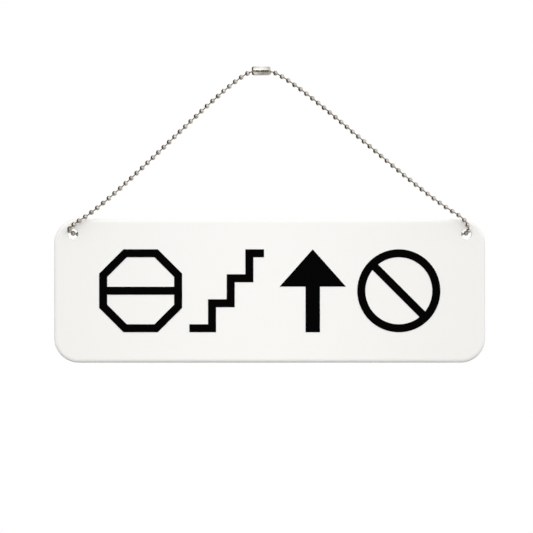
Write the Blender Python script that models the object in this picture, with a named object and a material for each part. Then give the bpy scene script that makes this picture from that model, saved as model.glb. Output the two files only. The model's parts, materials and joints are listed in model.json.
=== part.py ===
"""Notice plate that hangs on a ball chain.

A white moulded plate has a hole near each upper corner. One ball chain goes in
through the left hole, across the back and out through the right hole, and a
slotted tube coupling joins its two ends above the plate. Four flat black
figures are printed on the front.

X runs along the plate, the front faces -Y and Z is up. The origin is the hook
point, in the middle of the coupling's underside. Lengths are in metres.
"""

import math

import bmesh
import bpy
from mathutils import Vector
from mathutils.geometry import interpolate_bezier

MM = 0.001
LEFT = -1
RIGHT = 1

# Clearance between pieces that touch
GAP = 0.3 * MM
# How far a cutting shape reaches past the surface that it cuts
OVERRUN = 1 * MM

# Ball chain
BEAD_DIAMETER = 2.4 * MM
LINK_DIAMETER = 0.56 * MM
BARE_LINK = 1.25 * MM

# Plate
PLATE_WIDTH = 210 * MM
PLATE_HEIGHT = 70 * MM
PLATE_THICKNESS = 2 * MM
CORNER_RADIUS = 12 * MM
# The front edge's rounding is wider than it is deep
FRONT_SLOPE = 1.8 * MM
FRONT_ROUNDING = 1 * MM
BACK_ROUNDING = 0.2 * MM
HOLE_CLEARANCE = 2.6 * MM
HOLE_SIDE_INSET = 9.2 * MM
HOLE_TOP_INSET = 7.4 * MM
HOLE_CHAMFER = 0.2 * MM

# Where the plate hangs below the hook point
PLATE_DROP = 70 * MM
PLATE_SIDE_SHIFT = 4 * MM

# Coupling
COUPLING_LENGTH = 9.5 * MM
COUPLING_WALL = 0.3 * MM
COUPLING_PLAY = 0.65 * MM
COUPLING_NECK = 1.3 * MM
SLOT_WIDTH = 0.7 * MM
SLOT_BELOW_LEVEL = math.radians(8)
MOUTH_SHARE = 0.9

# Printed figures, which share the plate's width between the margins
FIGURE_COUNT = 4
FIGURE_SIDE_MARGIN = 22 * MM
FIGURE_GAP = 1.5 * MM
FIGURE_STROKE = 3.9 * MM
FILM_THICKNESS = 0.15 * MM
FILM_BOND = 0.05 * MM
STAIR_TREADS = 4
STAIRS_WIDTH_SHARE = 0.9
ARROW_SHAFT_SHARE = 1.8
ARROW_WIDTH_SHARE = 0.8
ARROW_SHOULDER_SHARE = 0.55

# Two beads and the bare link between them set the chain's pitch
BEAD_PITCH = BEAD_DIAMETER + BARE_LINK
BEAD_RADIUS = BEAD_DIAMETER / 2
LINK_RADIUS = LINK_DIAMETER / 2

# A bead is swept as a link, a belt and a link again, as shares of its radius
BELT_RADIUS_SHARE = 0.96
BELT_PLACE_SHARE = 0.42

# The coupling is bored for the beads that it holds
COUPLING_BORE_RADIUS = BEAD_RADIUS + COUPLING_PLAY
COUPLING_RADIUS = COUPLING_BORE_RADIUS + COUPLING_WALL
MOUTH_RADIUS = BEAD_RADIUS * MOUTH_SHARE
COUPLING_AXIS_Z = COUPLING_RADIUS

# The holes pass the beads
HOLE_RADIUS = (BEAD_DIAMETER + HOLE_CLEARANCE) / 2
PLATE_TOP_Z = -PLATE_DROP
PLATE_CENTRE_Z = PLATE_TOP_Z - PLATE_HEIGHT / 2
HOLE_Z = PLATE_TOP_Z - HOLE_TOP_INSET
HOLE_SPREAD = PLATE_WIDTH / 2 - HOLE_SIDE_INSET

# Each figure fills a square
FIGURE_ROW = PLATE_WIDTH - 2 * FIGURE_SIDE_MARGIN
FIGURE_HEIGHT = (FIGURE_ROW - (FIGURE_COUNT - 1) * FIGURE_GAP) / FIGURE_COUNT

# Beads that lie against the plate's front or back
BEAD_OFF_PLATE = PLATE_THICKNESS / 2 + GAP + BEAD_RADIUS

# The chain's way out of each hole and up to the foot of its leg. Each row is a
# bead: outward of the hole, forward of the bead in the mouth and above the hole,
# as shares of the bead pitch. The first bead of both rows is the plate's pivot.
PIVOT_RISE_SHARE = 0.42
TUCK_SHARES = {
    LEFT: ((0.39, 0, PIVOT_RISE_SHARE), (0.28, 0.72, 0.68), (-0.25, 0.62, 1.22), (-0.92, 0.41, 1.74)),
    RIGHT: ((0.18, 0, PIVOT_RISE_SHARE), (0.02, 0.5, 1.17), (-0.45, 0.6, 1.82), (-1.15, 0.45, 2.48)),
}
PIVOT_Z = HOLE_Z + PIVOT_RISE_SHARE * BEAD_PITCH

# The bead inside a hole hangs above its middle, as a share of the free space,
# and stands a little behind the plate's middle, as a share of the thickness
HUNG_BEAD_RISE_SHARE = 0.3
HUNG_BEAD_DEPTH_SHARE = 0.25
# The first bead behind the plate, inward of the hole, as a share of the pitch
BACK_BEAD_SHARE = 0.62

# Each leg leaves the coupling and reaches its foot at these slopes, and its
# handles are shares of the straight distance
LEG_START_SLOPE = math.radians(7)
LEG_FOOT_SLOPE = math.radians(30)
LEG_HANDLE_SHARES = {LEFT: (0.109, 0.224), RIGHT: (0.115, 0.257)}

# Facets, and the angle from which an edge is shaded sharp
SHARP_ANGLE = math.radians(50)
NECK_STEPS = 3
CORNER_STEPS = 7
EDGE_STEPS = 2
ROUND_SIDES = 24
RING_SIDES = 72
OCTAGON_SIDES = 8
CURVE_STEPS = 400
CHAIN_ROUND_STEPS = 2

# Colours (linear), roughness and metallic value
WHITE_PLASTIC = ((0.87, 0.87, 0.85), 0.15, 0)
BLACK_FILM = ((0.008, 0.008, 0.008), 0.5, 0)
NICKEL = ((0.62, 0.58, 0.53), 0.2, 1)


def finish(name, look):
    """A plain Principled material for one piece."""
    colour, roughness, metallic = look
    material = bpy.data.materials.new(name + "_finish")
    material.use_nodes = True
    shader = material.node_tree.nodes["Principled BSDF"]
    shader.inputs["Base Color"].default_value = (*colour, 1)
    shader.inputs["Roughness"].default_value = roughness
    shader.inputs["Metallic"].default_value = metallic
    material.diffuse_color = (*colour, 1)
    return material


def place(name, data, parent, look):
    """Puts data, whose points are measured from the parent, into the scene."""
    piece = bpy.data.objects.new(name, data)
    bpy.context.collection.objects.link(piece)
    piece.parent = parent
    if look:
        data.materials.append(finish(name, look))
    return piece


def axis_point(name, location, parent=None):
    """An empty on a joint's axis."""
    empty = bpy.data.objects.new(name, None)
    bpy.context.collection.objects.link(empty)
    empty.parent = parent
    empty.location = location - (parent.location if parent else Vector())
    return empty


def world_place(empty):
    """Where an empty stands, through its parents."""
    place_of_parent = world_place(empty.parent) if empty.parent else Vector()
    return empty.location + place_of_parent


def mesh_from(bm, name):
    """Turns a bmesh into a mesh that is shaded smooth over its small angles."""
    bmesh.ops.recalc_face_normals(bm, faces=bm.faces)
    mesh = bpy.data.meshes.new(name)
    bm.to_mesh(mesh)
    bm.free()
    mesh.shade_smooth()
    mesh.set_sharp_from_angle(angle=SHARP_ANGLE)
    return mesh


def loft(bm, loops, closed=False):
    """Joins loops of points into a skin that closes on itself or is capped."""
    rings = [[bm.verts.new(point) for point in loop] for loop in loops]
    following = rings[1:] + rings[:1] if closed else rings[1:]
    for ring, after in zip(rings, following):
        for i, vertex in enumerate(ring):
            j = (i + 1) % len(ring)
            bm.faces.new((vertex, ring[j], after[j], after[i]))
    if not closed:
        bm.faces.new(rings[0])
        bm.faces.new(rings[-1])


def circle(radius, sides, along_x=None, along_y=None):
    """Points of a circle about X or about Y, at a place along that axis."""
    points = []
    for i in range(sides):
        angle = 2 * math.pi * i / sides
        u, v = radius * math.cos(angle), radius * math.sin(angle)
        points.append(Vector((along_x, u, v)) if along_y is None else Vector((u, along_y, v)))
    return points


def cut(piece, cutter):
    """Subtracts a cutter, which stays in the scene as a hidden guide."""
    cutter.hide_render = True
    cutter.display_type = "WIRE"
    boolean = piece.modifiers.new(cutter.name, "BOOLEAN")
    boolean.operation = "DIFFERENCE"
    boolean.solver = "EXACT"
    boolean.object = cutter


def rounded_outline(inset, y):
    """The plate's outline, drawn in by an inset, about the plate's centre."""
    radius = CORNER_RADIUS - inset
    half_width = PLATE_WIDTH / 2 - CORNER_RADIUS
    half_height = PLATE_HEIGHT / 2 - CORNER_RADIUS
    points = []
    for quarter, (x_side, z_side) in enumerate(((1, 1), (-1, 1), (-1, -1), (1, -1))):
        for step in range(CORNER_STEPS + 1):
            angle = math.pi / 2 * (quarter + step / CORNER_STEPS)
            x = x_side * half_width + radius * math.cos(angle)
            z = z_side * half_height + radius * math.sin(angle)
            points.append(Vector((x, y, z)))
    return points


def plate_sections():
    """Loops from the plate's front to its back, with rounded edges."""
    half = PLATE_THICKNESS / 2
    angles = [math.pi / 2 * step / EDGE_STEPS for step in range(EDGE_STEPS + 1)]
    front = [(FRONT_SLOPE * (1 - math.sin(a)), FRONT_ROUNDING * (1 - math.cos(a)) - half) for a in angles]
    back = [(BACK_ROUNDING * (1 - math.sin(a)), half - BACK_ROUNDING * (1 - math.cos(a))) for a in angles]
    return [rounded_outline(inset, y) for inset, y in front + back[::-1]]


def make_plate(parent):
    """The moulded plate, with a chamfered hole near each upper corner."""
    centre = Vector((PLATE_SIDE_SHIFT, 0, PLATE_CENTRE_Z)) - world_place(parent)
    bm = bmesh.new()
    loft(bm, [[centre + point for point in loop] for loop in plate_sections()])
    plate = place("notice_plate", mesh_from(bm, "notice_plate"), parent, WHITE_PLASTIC)
    straight = PLATE_THICKNESS / 2 - HOLE_CHAMFER
    past = PLATE_THICKNESS / 2 + OVERRUN
    flare = HOLE_RADIUS + HOLE_CHAMFER + OVERRUN
    drill = ((-past, flare), (-straight, HOLE_RADIUS), (straight, HOLE_RADIUS), (past, flare))
    for side, label in ((LEFT, "left"), (RIGHT, "right")):
        hole = hole_place(side) - world_place(parent)
        bm = bmesh.new()
        loft(bm, [[hole + point for point in circle(r, ROUND_SIDES, along_y=y)] for y, r in drill])
        name = "hole_cutter_" + label
        cut(plate, place(name, mesh_from(bm, name), parent, None))


def clip_above(points, level):
    """The part of an outline above a level."""
    kept = []
    for (u0, v0), (u1, v1) in zip(points, points[1:] + points[:1]):
        if v0 > level:
            kept.append((u0, v0))
        if (v0 > level) != (v1 > level):
            share = (level - v0) / (v1 - v0)
            kept.append((u0 + share * (u1 - u0), level))
    return kept


def turned(points, angle):
    """An outline turned about its middle."""
    c, s = math.cos(angle), math.sin(angle)
    return [(u * c - v * s, u * s + v * c) for u, v in points]


def framed_bar(sides, tilt):
    """A regular frame with a bar across it: the outline and its two openings."""
    outlines = []
    for reach in (FIGURE_HEIGHT / 2, FIGURE_HEIGHT / 2 - FIGURE_STROKE):
        corner = reach / math.cos(math.pi / sides)
        angles = [2 * math.pi * (i + 0.5) / sides for i in range(sides)]
        outlines.append([(corner * math.cos(a), corner * math.sin(a)) for a in angles])
    outer, inner = outlines
    upper = clip_above(inner, FIGURE_STROKE / 2)
    return turned(outer, tilt), (turned(upper, tilt), turned(upper, tilt + math.pi))


def stairs():
    """A flight of steps drawn as one stroke, rising to the right."""
    width = FIGURE_HEIGHT * STAIRS_WIDTH_SHARE
    tread = width / STAIR_TREADS
    riser = (FIGURE_HEIGHT - FIGURE_STROKE) / (STAIR_TREADS - 1)
    top, under = [], []
    for i in range(STAIR_TREADS):
        start = i * tread - width / 2
        level = i * riser - FIGURE_HEIGHT / 2 + FIGURE_STROKE
        after_riser = FIGURE_STROKE if i > 0 else 0
        before_riser = FIGURE_STROKE if i < STAIR_TREADS - 1 else 0
        top += [(start, level), (start + tread, level)]
        under += [
            (start + after_riser, level - FIGURE_STROKE),
            (start + tread + before_riser, level - FIGURE_STROKE),
        ]
    return top + under[::-1], ()


def up_arrow():
    """An arrow that points up."""
    half = FIGURE_HEIGHT / 2
    shaft = FIGURE_STROKE * ARROW_SHAFT_SHARE / 2
    wing = FIGURE_HEIGHT * ARROW_WIDTH_SHARE / 2
    shoulder = FIGURE_HEIGHT * ARROW_SHOULDER_SHARE - half
    right = [(shaft, -half), (shaft, shoulder), (wing, shoulder)]
    left = [(-u, v) for u, v in reversed(right)]
    return right + [(0, half)] + left, ()


def make_figure(name, drawing, along, parent):
    """One printed figure: a thin film just off the plate's front face."""
    outer, openings = drawing
    back_y = -PLATE_THICKNESS / 2 - FILM_BOND
    centre = Vector((PLATE_SIDE_SHIFT + along, back_y, PLATE_CENTRE_Z)) - world_place(parent)
    bm = bmesh.new()
    edges = []
    for loop in (outer, *openings):
        ring = [bm.verts.new(centre + Vector((u, 0, v))) for u, v in loop]
        edges += [bm.edges.new(pair) for pair in zip(ring, ring[1:] + ring[:1])]
    bmesh.ops.triangle_fill(bm, use_beauty=True, use_dissolve=False, edges=edges, normal=(0, -1, 0))
    front = bmesh.ops.extrude_face_region(bm, geom=bm.faces[:])["geom"]
    moved = [item for item in front if isinstance(item, bmesh.types.BMVert)]
    bmesh.ops.translate(bm, vec=(0, -FILM_THICKNESS, 0), verts=moved)
    place(name, mesh_from(bm, name), parent, BLACK_FILM)


def make_coupling():
    """The slotted tube that holds the chain's two end beads."""
    half = COUPLING_LENGTH / 2
    shoulder = half - COUPLING_NECK
    arc = [math.pi / 2 * step / NECK_STEPS for step in range(NECK_STEPS + 1)]
    lip = MOUTH_RADIUS + COUPLING_WALL / 2
    outside = [
        (shoulder + COUPLING_NECK * math.sin(a), lip + (COUPLING_RADIUS - lip) * math.cos(a)) for a in arc
    ]
    depth = COUPLING_NECK - COUPLING_WALL
    inside = [
        (shoulder + depth * math.sin(a), MOUTH_RADIUS + (COUPLING_BORE_RADIUS - MOUTH_RADIUS) * math.cos(a))
        for a in arc
    ]
    right_half = outside + [(half, MOUTH_RADIUS)] + inside[::-1]
    left_half = [(-x, r) for x, r in reversed(right_half)]
    axis = Vector((0, 0, COUPLING_AXIS_Z))
    bm = bmesh.new()
    loops = [[axis + p for p in circle(r, ROUND_SIDES, along_x=x)] for x, r in right_half + left_half]
    loft(bm, loops, closed=True)
    coupling = place("chain_coupling", mesh_from(bm, "chain_coupling"), None, NICKEL)
    cut(coupling, slot_cutter(axis))


def slot_cutter(axis):
    """A bar from the coupling's axis out through its front wall."""
    outward = Vector((0, -math.cos(SLOT_BELOW_LEVEL), -math.sin(SLOT_BELOW_LEVEL)))
    across = Vector((0, -outward.z, outward.y)) * SLOT_WIDTH / 2
    reach = outward * (COUPLING_RADIUS + OVERRUN)
    end = Vector((COUPLING_LENGTH / 2 + OVERRUN, 0, 0))
    section = (across, reach + across, reach - across, -across)
    bm = bmesh.new()
    loft(bm, [[axis + side * end + corner for corner in section] for side in (LEFT, RIGHT)])
    return place("slot_cutter", mesh_from(bm, "slot_cutter"), None, None)


def end_bead_place(side):
    """The middle of a bead that rests in the coupling's mouth."""
    seat = BEAD_RADIUS + GAP
    inner_edge = COUPLING_LENGTH / 2 - COUPLING_WALL
    x = inner_edge - math.sqrt(seat ** 2 - MOUTH_RADIUS ** 2)
    return Vector((side * x, 0, COUPLING_AXIS_Z))


def hole_place(side):
    """The middle of a hole."""
    return Vector((PLATE_SIDE_SHIFT + side * HOLE_SPREAD, 0, HOLE_Z))


def tuck_beads(side):
    """Bead middles from the mouth of a hole up to the foot of its leg."""
    mouth = hole_place(side) - Vector((0, BEAD_OFF_PLATE, 0))
    beads = []
    for outward, forward, up in TUCK_SHARES[side]:
        beads.append(mouth + BEAD_PITCH * Vector((side * outward, -forward, up)))
    return beads


def spaced(points):
    """Bead middles along a line of points, at the whole pitch that fits best."""
    lengths = [(b - a).length for a, b in zip(points, points[1:])]
    total = sum(lengths)
    count = max(2, round(total / BEAD_PITCH))
    beads = [points[0]]
    walked = 0
    for (a, b), length in zip(zip(points, points[1:]), lengths):
        while len(beads) < count and walked + length >= total * len(beads) / count:
            beads.append(a.lerp(b, (total * len(beads) / count - walked) / length))
        walked += length
    return beads + [points[-1]]


def leg_beads(side):
    """Bead middles from the coupling down to the bead before the pivot."""
    start = end_bead_place(side)
    pivot, *above_pivot, foot = tuck_beads(side)
    distance = (foot - start).length
    leave = Vector((side * math.cos(LEG_START_SLOPE), 0, -math.sin(LEG_START_SLOPE)))
    arrive = Vector((side * math.cos(LEG_FOOT_SLOPE), 0, -math.sin(LEG_FOOT_SLOPE)))
    start_share, foot_share = LEG_HANDLE_SHARES[side]
    handles = (start + leave * distance * start_share, foot - arrive * distance * foot_share)
    line = interpolate_bezier(start, *handles, foot, CURVE_STEPS)
    return spaced(line) + above_pivot[::-1], pivot


def through_beads(side):
    """Bead middles from the pivot through the hole to the first bead behind."""
    hole = hole_place(side)
    rise = (HOLE_RADIUS - BEAD_RADIUS) * HUNG_BEAD_RISE_SHARE
    hung = hole + Vector((0, PLATE_THICKNESS * HUNG_BEAD_DEPTH_SHARE, rise))
    behind = hole + Vector((-side * BEAD_PITCH * BACK_BEAD_SHARE, BEAD_OFF_PLATE, 0))
    return [tuck_beads(side)[0], hung, behind]


def bead_rings(centre, before, after):
    """Places and radii of a bead's rings along the chain."""
    link_place = math.sqrt(BEAD_RADIUS ** 2 - LINK_RADIUS ** 2)
    belt_place = BEAD_RADIUS * BELT_PLACE_SHARE
    belt_radius = BEAD_RADIUS * BELT_RADIUS_SHARE
    return [
        (centre - before * link_place, LINK_RADIUS),
        (centre - before * belt_place, belt_radius),
        (centre + after * belt_place, belt_radius),
        (centre + after * link_place, LINK_RADIUS),
    ]


def make_chain(name, beads, parent, next_bead=None):
    """A run of beads and links, with a last link that stops short of the next bead."""
    origin = world_place(parent)
    stops = beads + [next_bead] if next_bead else beads
    ways = [(b - a).normalized() for a, b in zip(stops, stops[1:])]
    rings = []
    for i, centre in enumerate(beads):
        rings += bead_rings(centre, ways[max(i - 1, 0)], ways[min(i, len(ways) - 1)])
    if next_bead:
        rings.append((next_bead - ways[-1] * (BEAD_RADIUS + GAP), LINK_RADIUS))
    data = bpy.data.curves.new(name, "CURVE")
    data.dimensions = "3D"
    data.bevel_depth = BEAD_RADIUS
    data.bevel_resolution = CHAIN_ROUND_STEPS
    data.use_fill_caps = True
    spline = data.splines.new("POLY")
    spline.points.add(len(rings) - 1)
    for point, (middle, radius) in zip(spline.points, rings):
        point.co = (*(middle - origin), 1)
        point.radius = radius / BEAD_RADIUS
    spline.use_smooth = True
    place(name, data, parent, NICKEL)


def make_legs(parent):
    """The two hanging runs of the chain."""
    for side, label in ((LEFT, "left"), (RIGHT, "right")):
        beads, pivot = leg_beads(side)
        make_chain("chain_leg_" + label, beads, parent, next_bead=pivot)


def make_threaded_chain(parent):
    """The runs through both holes, and the run across the back."""
    left, right = through_beads(LEFT), through_beads(RIGHT)
    back = spaced([left[-1], right[-1]])
    make_chain("chain_through_left_hole", left, parent, next_bead=back[1])
    make_chain("chain_through_right_hole", right, parent, next_bead=back[-2])
    make_chain("chain_back_run", back[1:-1], parent)


def make_figures(parent):
    """Four general sign figures in a row."""
    drawings = (
        ("print_octagon_bar", framed_bar(OCTAGON_SIDES, 0)),
        ("print_stairs", stairs()),
        ("print_up_arrow", up_arrow()),
        ("print_ring_bar", framed_bar(RING_SIDES, -math.pi / 4)),
    )
    for order, (name, drawing) in enumerate(drawings):
        along = (order - (FIGURE_COUNT - 1) / 2) * (FIGURE_HEIGHT + FIGURE_GAP)
        make_figure(name, drawing, along, parent)


def main():
    for old in list(bpy.data.objects):
        bpy.data.objects.remove(old, do_unlink=True)
    chain_axis = axis_point("chain_swing_axis", Vector((0, 0, COUPLING_AXIS_Z)))
    plate_axis = axis_point(
        "plate_swing_axis", Vector((PLATE_SIDE_SHIFT, -BEAD_OFF_PLATE, PIVOT_Z)), chain_axis
    )
    make_coupling()
    make_legs(chain_axis)
    make_threaded_chain(plate_axis)
    make_plate(plate_axis)
    make_figures(plate_axis)


main()
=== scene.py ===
"""Looks of a white notice plate that hangs on a nickel-plated ball chain.

The packed model is the frame, in metres: X runs along the plate, the front
faces -Y, Z is up and the origin is the hook point. Each piece made here stands
in the place of a plain solid and moves with that solid's body.
"""

import json
import math

import bmesh
import bpy
from bpy.props import FloatProperty, FloatVectorProperty, IntProperty, PointerProperty
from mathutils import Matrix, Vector
from mathutils.geometry import interpolate_bezier

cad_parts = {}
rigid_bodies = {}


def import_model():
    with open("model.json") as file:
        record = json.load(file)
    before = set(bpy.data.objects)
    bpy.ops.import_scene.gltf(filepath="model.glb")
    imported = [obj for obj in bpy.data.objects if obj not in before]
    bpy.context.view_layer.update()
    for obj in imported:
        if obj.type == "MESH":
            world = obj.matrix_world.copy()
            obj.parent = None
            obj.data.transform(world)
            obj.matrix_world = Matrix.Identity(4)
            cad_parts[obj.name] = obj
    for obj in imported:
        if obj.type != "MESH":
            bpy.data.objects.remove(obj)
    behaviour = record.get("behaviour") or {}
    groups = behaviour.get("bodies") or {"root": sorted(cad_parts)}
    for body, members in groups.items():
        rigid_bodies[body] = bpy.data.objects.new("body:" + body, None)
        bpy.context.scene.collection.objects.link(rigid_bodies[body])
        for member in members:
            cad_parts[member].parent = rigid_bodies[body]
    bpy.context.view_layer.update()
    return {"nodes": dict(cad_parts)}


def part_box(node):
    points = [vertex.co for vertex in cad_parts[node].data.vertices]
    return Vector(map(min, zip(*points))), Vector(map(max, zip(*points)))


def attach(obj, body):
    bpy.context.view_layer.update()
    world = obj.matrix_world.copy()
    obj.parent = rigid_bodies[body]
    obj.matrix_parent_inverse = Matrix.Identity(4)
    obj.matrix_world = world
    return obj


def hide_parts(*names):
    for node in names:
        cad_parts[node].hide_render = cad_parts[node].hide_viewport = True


bl_info = {
    "name": "Hung Notice Plate",
    "version": (1, 0, 0),
    "blender": (4, 5, 0),
    "location": "3D View > Sidebar > Notice Plate",
    "description": "Dresses a packed notice plate: moulded plate, ink, ball chain, coupling and studio",
    "category": "Object",
}

for leftover in list(bpy.data.objects):
    bpy.data.objects.remove(leftover, do_unlink=True)

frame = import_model()
PLATE_LOW, PLATE_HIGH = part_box("notice_plate")
COUPLING_LOW, COUPLING_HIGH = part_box("chain_coupling")

MM = 0.001
LEFT, RIGHT = -1, 1
PRINT_NODES = ("print_octagon_bar", "print_stairs", "print_up_arrow", "print_ring_bar")

# The plate's own frame
PLATE_CENTRE = (PLATE_LOW + PLATE_HIGH) / 2
PLATE_WIDTH, PLATE_THICKNESS, PLATE_HEIGHT = PLATE_HIGH - PLATE_LOW

# The coupling's own frame
COUPLING_LENGTH = COUPLING_HIGH.x - COUPLING_LOW.x
COUPLING_RADIUS = (COUPLING_HIGH.z - COUPLING_LOW.z) / 2
COUPLING_AXIS_Z = (COUPLING_HIGH.z + COUPLING_LOW.z) / 2

# The chain's way out of each hole, bead by bead: outward, forward and up, as
# shares of the bead pitch. The first bead of both rows is the plate's pivot.
PIVOT_RISE_SHARE = 0.42
TUCK_SHARES = {
    LEFT: ((0.39, 0, PIVOT_RISE_SHARE), (0.28, 0.72, 0.68), (-0.25, 0.62, 1.22), (-0.92, 0.41, 1.74)),
    RIGHT: ((0.18, 0, PIVOT_RISE_SHARE), (0.02, 0.5, 1.17), (-0.45, 0.6, 1.82), (-1.15, 0.45, 2.48)),
}
HUNG_BEAD_RISE_SHARE = 0.3
HUNG_BEAD_DEPTH_SHARE = 0.25
BACK_BEAD_SHARE = 0.62

# Each leg leaves the coupling and reaches its foot at these slopes, and its
# handles are shares of the straight distance
LEG_START_SLOPE = math.radians(7)
LEG_FOOT_SLOPE = math.radians(30)
LEG_HANDLE_SHARES = {LEFT: (0.109, 0.224), RIGHT: (0.115, 0.257)}
CURVE_STEPS = 400
MOUTH_SHARE = 0.9
SLOT_BELOW_LEVEL = math.radians(8)

# Light of the studio from straight below (0) to straight above (1): what it
# throws on matt surfaces, and what polished metal mirrors
SOFT_LIGHT = ((0, 0), (0.42, 0.1), (0.5, 2.05), (0.7, 1.97), (1, 0.48))
MIRRORED_LIGHT = ((0, 0.75), (0.3, 1.05), (0.45, 1.35), (0.6, 1.5), (0.8, 1.42), (1, 1.12))

# The dark cards stand from this far aside to straight aside and leave this share
CARDS_FROM = 0.35
CARD_LIGHT = 0.4

# The unlit corner lies on the left and behind, and fades in between these shares
UNLIT_CORNER = Vector((-0.9, 0.35, -0.04)).normalized()
UNLIT_FROM = 0.24
UNLIT_TO = 0.4

# Where metal sees the camera and the dim room behind it, how wide, and the share
# of that width which is all dark
LENS_WAY = Vector((-0.05, -0.95, -0.25)).normalized()
LENS_REACH = 0.6
LENS_CORE_SHARE = 0.6

# Name, place, width, height, watts and colour of each lamp, all of which face the plate
LAMPS = (("gloss_strip", (-0.03, -3.2, -0.1), 0.5, 2.4, 18, "FFFFFF"),)

# The floor is a disc with this many sides, and fades between these shares of its radius
FLOOR_SIDES = 96
FLOOR_FADE = (0.3, 0.95)

# How rough each surface is, and how strong and deep its bumps are
POLYMER_IOR = 1.5
ABS_ROUGHNESS = 0.27
# The white is painted this much darker with the height of the cooling waves: painted shade on the
# waviness
ABS_SHADE = 0.985
ABS_WAVES = {"Strength": 0.15, "Distance": 0.02 * MM}
ABS_GRAIN = {"Strength": 0.25, "Distance": 0.01 * MM}
INK_SPECULAR = 0.015
INK_ROUGHNESS = {"To Min": 0.42, "To Max": 0.6}
INK_GRAIN = {"Strength": 0.3, "Distance": 0.02 * MM}
NICKEL_PATCHES = {"From Min": 0.35, "From Max": 0.7}
NICKEL_ROUGHNESS = {"To Min": 0.09, "To Max": 0.2}
NICKEL_DENTS = {"Strength": 0.3, "Distance": 0.02 * MM}
STEEL_ROUGHNESS = {"To Min": 0.45, "To Max": 0.65}
PAPER_ROUGHNESS = 0.9

# How the pattern of the dents is scaled: drawn out along the strip, or even all round
DRAWN_OUT = (0.15, 1, 1)
EVEN = (1, 1, 1)

# Edges that turn by more than this stay sharp
SHARP_EDGE = math.radians(40)
SHARP_BEAD = math.radians(50)
SHARP_LINK = math.radians(60)

# The strip's edges that turn by more than this are rounded, in this many steps
STRIP_EDGE_ANGLE = math.radians(50)
STRIP_EDGE_STEPS = 2

# Radius and height of the rings of a link's head and the height of its tip, as
# shares of the head's radius
HEAD_RINGS = ((1, 0.5), (0.75, 1))
HEAD_TIP = 1.2

# Radius of the rings of a link's plain end and how far they are from its tip, as
# shares of the shank's radius
END_RINGS = ((1, 0.4), (2 / 3, 0.1))

# How far apart the nodes of a tree are drawn
NODE_GAP = 200


def linear(hex_colour):
    """Linear colour of an sRGB hex value."""
    parts = [int(hex_colour[i:i + 2], 16) / 255 for i in (0, 2, 4)]
    return tuple(p / 12.92 if p <= 0.04045 else ((p + 0.055) / 1.055) ** 2.4 for p in parts)


def length(name, description, default):
    """A length that the panel shows in the scene's own unit."""
    return FloatProperty(
        name=name, description=description, default=default, min=0, unit="LENGTH", subtype="DISTANCE"
    )


def colour(name, description, hex_colour):
    """A colour that the panel shows as a swatch."""
    return FloatVectorProperty(
        name=name, description=description, default=linear(hex_colour), min=0, max=1, subtype="COLOR"
    )


class PlateSizes(bpy.types.PropertyGroup):
    """The moulded plate."""

    corner_radius: length("Corner radius", "Radius of the four corners", 12 * MM)
    front_rounding: length("Front rounding", "Depth of the front edge's rounding", 1 * MM)
    front_slope: length("Front slope", "Width of the front edge's rounding", 1.8 * MM)
    back_rounding: length("Back rounding", "Radius of the back edge all round", 0.2 * MM)
    hole_diameter: length("Hole diameter", "Diameter of the two holes", 5 * MM)
    hole_side_inset: length("Hole side inset", "From a side edge to a hole's middle", 9.2 * MM)
    hole_top_inset: length("Hole top inset", "From the top edge to a hole's middle", 7.4 * MM)
    hole_rounding: length("Hole rounding", "Radius of the holes' rims", 0.2 * MM)
    land: length("Land", "Width of the flat strip beside each rounding", 0.25 * MM)
    corner_steps: IntProperty(name="Corner steps", description="Faces around a corner", default=20)
    rounding_steps: IntProperty(name="Rounding steps", description="Faces across an edge", default=6)
    hole_sides: IntProperty(name="Hole sides", description="Faces around a hole", default=64)
    white: colour("White", "The plastic all through", "F4F3F0")
    wave: length("Wave", "Spacing of the waviness from cooling", 14 * MM)
    grain: length("Grain", "Spacing of the grain that the tool's polish leaves", 0.6 * MM)


class InkLook(bpy.types.PropertyGroup):
    """The printed figures."""

    black: colour("Black", "The ink when dry", "020202")
    grain: length("Grain", "Spacing of the grain that the screen leaves", 0.25 * MM)


class CouplingSizes(bpy.types.PropertyGroup):
    """The folded coupling."""

    wall: length("Wall", "Thickness of the strip", 0.3 * MM)
    play: length("Play", "Room between a bead and the bore", 0.65 * MM)
    neck: length("Neck", "Length of each rounded end", 1.3 * MM)
    slot_width: length("Slot width", "Gap between the strip's two edges", 0.7 * MM)
    edge_rounding: length("Edge rounding", "Radius of the strip's edges", 0.07 * MM)
    around: IntProperty(name="Around", description="Faces around the tube", default=48)
    neck_steps: IntProperty(name="Neck steps", description="Faces along a rounded end", default=6)


class ChainSizes(bpy.types.PropertyGroup):
    """The ball chain."""

    bead_diameter: length("Bead diameter", "Diameter of a bead", 2.4 * MM)
    bare_link: length("Bare link", "What shows of a link between two beads", 1.25 * MM)
    bead_wall: length("Bead wall", "Thickness of a bead's shell", 0.15 * MM)
    pole_hole: length("Pole hole", "Diameter of the hole at each end of a bead", 0.9 * MM)
    seam_width: length("Seam width", "Width of a bead's closed seam", 0.17 * MM)
    seam_depth: length("Seam depth", "Depth of a bead's closed seam", 0.05 * MM)
    link_diameter: length("Link diameter", "Diameter of a link's shank", 0.56 * MM)
    link_head: length("Link head", "Diameter of the heads inside the beads", 0.95 * MM)
    head_place: length("Head place", "How deep inside a bead's hole a head starts", 0.24 * MM)
    tip_gap: length("Tip gap", "Room between a leg's last link and the pivot bead", 0.05 * MM)
    off_plate: length("Off the plate", "Room between the plate and a bead beside it", 0.3 * MM)
    bead_sides: IntProperty(name="Bead sides", description="Faces around a bead", default=14)
    bead_steps: IntProperty(name="Bead steps", description="Faces from pole to pole", default=7)
    inner_steps: IntProperty(name="Inner steps", description="Faces from pole to pole inside", default=3)
    link_sides: IntProperty(name="Link sides", description="Faces around a link", default=8)
    seed: IntProperty(name="Seed", description="How the beads are turned about the chain", default=4)


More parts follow.
